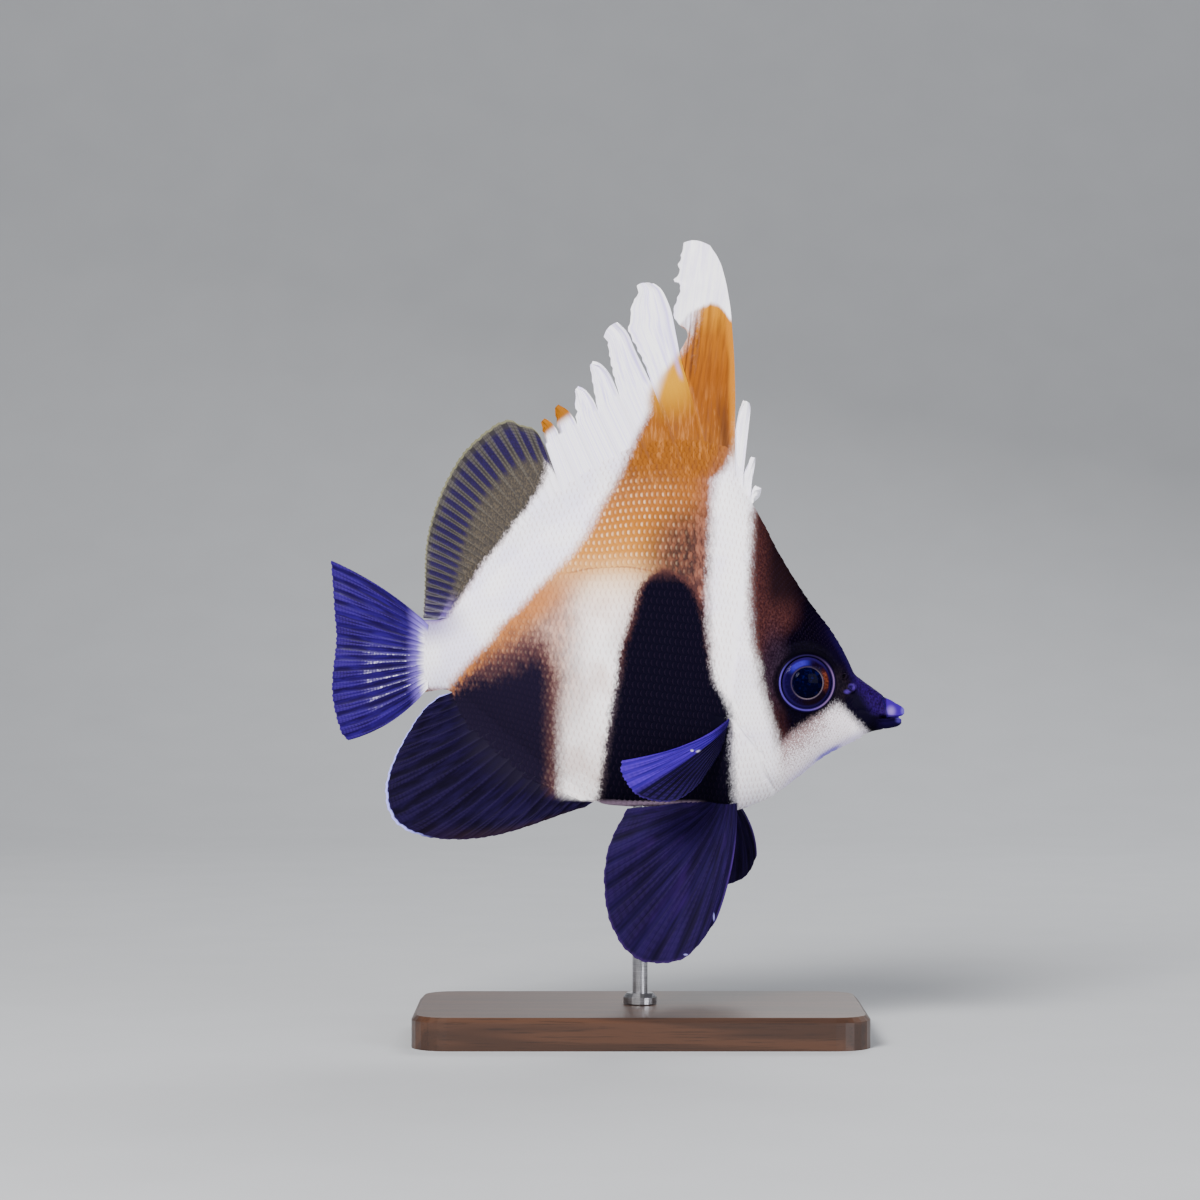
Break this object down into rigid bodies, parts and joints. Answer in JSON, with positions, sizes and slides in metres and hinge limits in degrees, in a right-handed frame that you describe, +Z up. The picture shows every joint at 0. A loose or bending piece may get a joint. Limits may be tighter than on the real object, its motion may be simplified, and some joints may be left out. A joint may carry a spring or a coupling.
{
  "type": "phantom bannerfish display model",
  "caption": "Deep, thin reef fish with a tall tattered banner fin, pointed snout and trailing fins, held still by a rod on a flat display base.",
  "frame": {"origin": "middle of the underside of the stand's base", "axes": "+Z up, +X towards the snout; the fish's right side, which the picture shows, faces -Y"},
  "size_m": [0.1436, 0.0634, 0.1991],
  "materials": {
    "skin": "scaly skin, banded in white, tan and purple-black",
    "lips": "smooth wet skin, blue-violet",
    "pale_fin": "thin finned membrane over spines, white and orange",
    "dark_fin": "thin finned membrane over soft rays, blue-violet",
    "eye": "clear glossy eye with a dark pupil and a violet iris",
    "base_board": "dark stained board, satin",
    "rod_metal": "brushed rod and collar"
  },
  "bodies": {
    "root": {"head": "skin", "upper_jaw": "lips", "lower_jaw": "lips", "torso": "skin", "caudal_peduncle": "skin", "dorsal_fin_spinous": "pale_fin", "dorsal_fin_soft": "pale_fin", "anal_fin": "dark_fin", "caudal_fin": "dark_fin", "pectoral_fin_right": "dark_fin", "pectoral_fin_left": "dark_fin", "pelvic_fin_right": "dark_fin", "pelvic_fin_left": "dark_fin", "eye_right": "eye", "eye_left": "eye", "stand_base": "base_board", "stand_rod": "rod_metal"}
  },
  "joints": []
}
